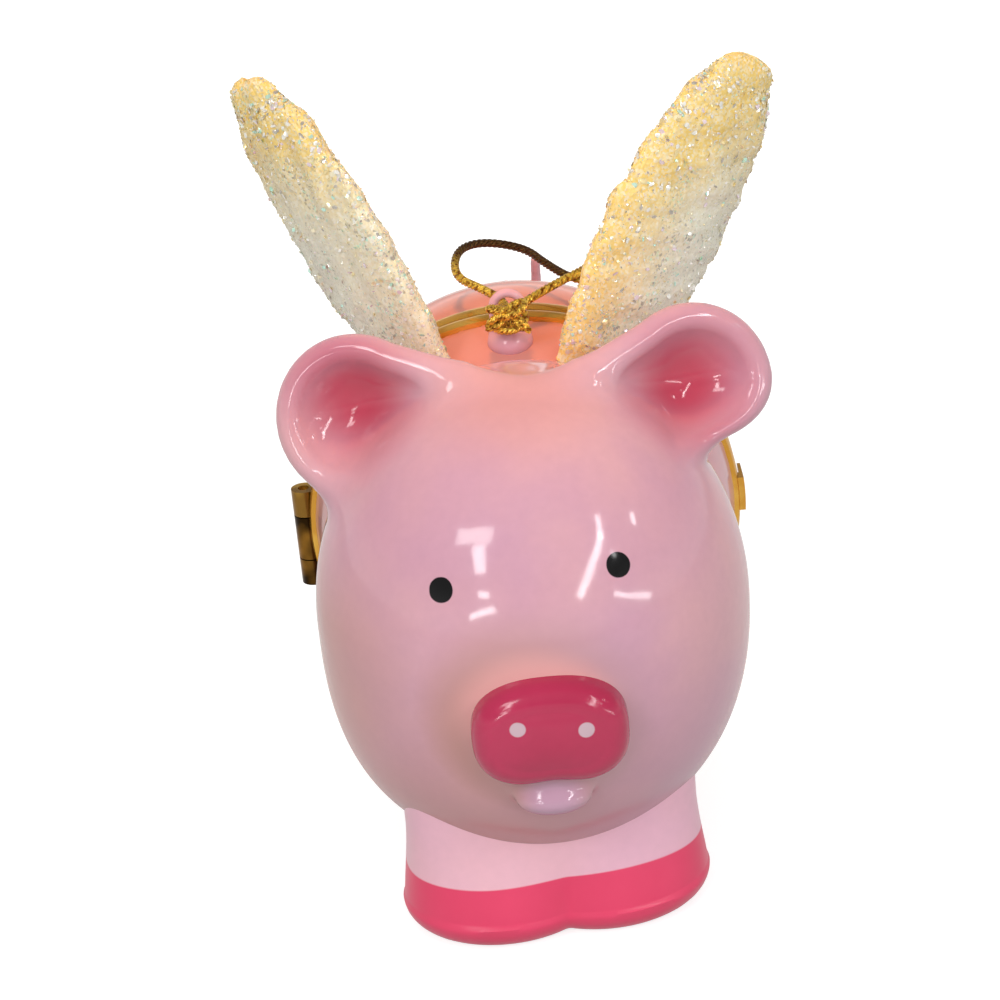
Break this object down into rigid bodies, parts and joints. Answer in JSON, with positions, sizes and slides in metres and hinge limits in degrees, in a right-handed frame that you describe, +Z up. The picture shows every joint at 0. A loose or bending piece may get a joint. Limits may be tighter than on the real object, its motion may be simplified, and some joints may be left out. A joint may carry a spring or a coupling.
{
  "type": "hinged pig trinket box ornament",
  "caption": "Winged pig trinket box in pink glazed ceramic, hinged open behind the head, with gilt metal rims and clasp, glitter wings and a gold hanging cord.",
  "frame": {"origin": "on the floor under the feet, at the middle of the X and Y extents of the ornament without its cord", "axes": "+X towards the clasp side, +Y from the face towards the tail, +Z up"},
  "size_m": [0.0604, 0.0866, 0.0877],
  "materials": {
    "pink_glaze": "very glossy clear glaze over mottled mauve pink",
    "snout_glaze": "glossy deep pink glaze",
    "leg_glaze": "pale pink glaze with deep pink painted hooves",
    "wing_glitter": "white with iridescent glitter",
    "gilt_brass": "polished gilt",
    "gold_cord": "braided metallic gold thread"
  },
  "bodies": {
    "front half": {"front_shell": "pink_glaze", "left_ear": "pink_glaze", "right_ear": "pink_glaze", "snout": "snout_glaze", "front_legs": "leg_glaze", "hanging_eyelet": "pink_glaze", "left_wing": "wing_glitter", "right_wing": "wing_glitter", "front_rim": "gilt_brass", "hinge_middle_knuckle": "gilt_brass", "clasp_tongue": "gilt_brass", "hanging_cord": "gold_cord", "cord_knot": "gold_cord"},
    "rear half": {"rear_shell": "pink_glaze", "hind_legs": "leg_glaze", "tail": "pink_glaze", "rear_rim": "gilt_brass", "hinge_upper_knuckle": "gilt_brass", "hinge_lower_knuckle": "gilt_brass", "hinge_pin": "gilt_brass", "clasp_catch": "gilt_brass"}
  },
  "joints": [
    {"name": "box_hinge", "type": "hinge", "parent": "front half", "child": "rear half", "pos_m": [-0.02739, 0.00661, 0.0333], "axis": [0, 0, 1], "range_deg": [0, 110]}
  ]
}
